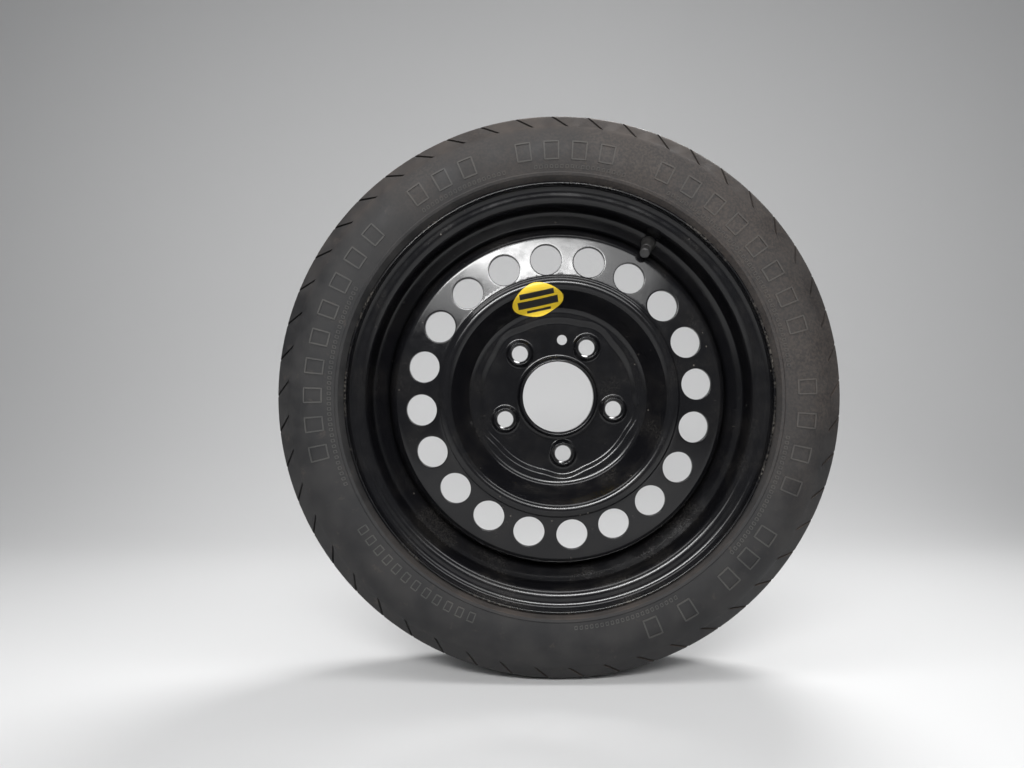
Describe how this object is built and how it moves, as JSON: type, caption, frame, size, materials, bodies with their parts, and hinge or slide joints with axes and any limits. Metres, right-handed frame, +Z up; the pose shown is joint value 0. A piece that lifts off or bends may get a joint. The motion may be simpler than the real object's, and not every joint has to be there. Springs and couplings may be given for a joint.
{
  "type": "spare wheel",
  "caption": "Narrow temporary-use spare wheel: rubber tyre on a black steel rim with a pressed, vented disc, conical nut seats, a hub bore, a snap-in rubber valve and a round yellow label.",
  "frame": {"origin": "centre of the wheel: on the spin axis, in the rim's middle plane", "axes": "+Y along the spin axis towards the hub side, -Y is the outboard face, +Z up"},
  "size_m": [0.557, 0.127, 0.557],
  "materials": {
    "tyre_rubber": "matte, dusty",
    "black_paint": "gloss black paint, dusty",
    "painted_weld": "painted over",
    "label_foil": "satin yellow foil",
    "valve_rubber": "satin",
    "brass": "turned",
    "cap_plastic": "satin",
    "seal_rubber": "matte",
    "spring_steel": "drawn wire"
  },
  "bodies": {
    "wheel": {"tyre": "tyre_rubber", "rim": "black_paint", "wheel_disc": "black_paint", "weld_seams": "painted_weld", "label": "label_foil", "valve_body": "valve_rubber", "valve_stem": "brass", "valve_core_plug": "brass", "valve_core_barrel": "brass", "valve_core_gasket": "seal_rubber", "valve_core_spring": "spring_steel"},
    "cap": {"valve_cap": "cap_plastic", "valve_cap_seal": "seal_rubber"},
    "core_pin": {"valve_core_pin": "brass", "valve_core_cup": "brass", "valve_core_cup_seal": "seal_rubber"}
  },
  "joints": [
    {"name": "cap_off", "type": "slide", "parent": "wheel", "child": "cap", "axis": [-0.2637, -0.8554, -0.4459], "range_m": [0, 0.012]},
    {"name": "core_pin_press", "type": "slide", "parent": "wheel", "child": "core_pin", "axis": [0.2637, 0.8554, 0.4459], "range_m": [0, 0.0012], "stiffness_N_per_m": 1500, "springref_m": -0.002, "deforming": ["valve_core_spring"]}
  ]
}
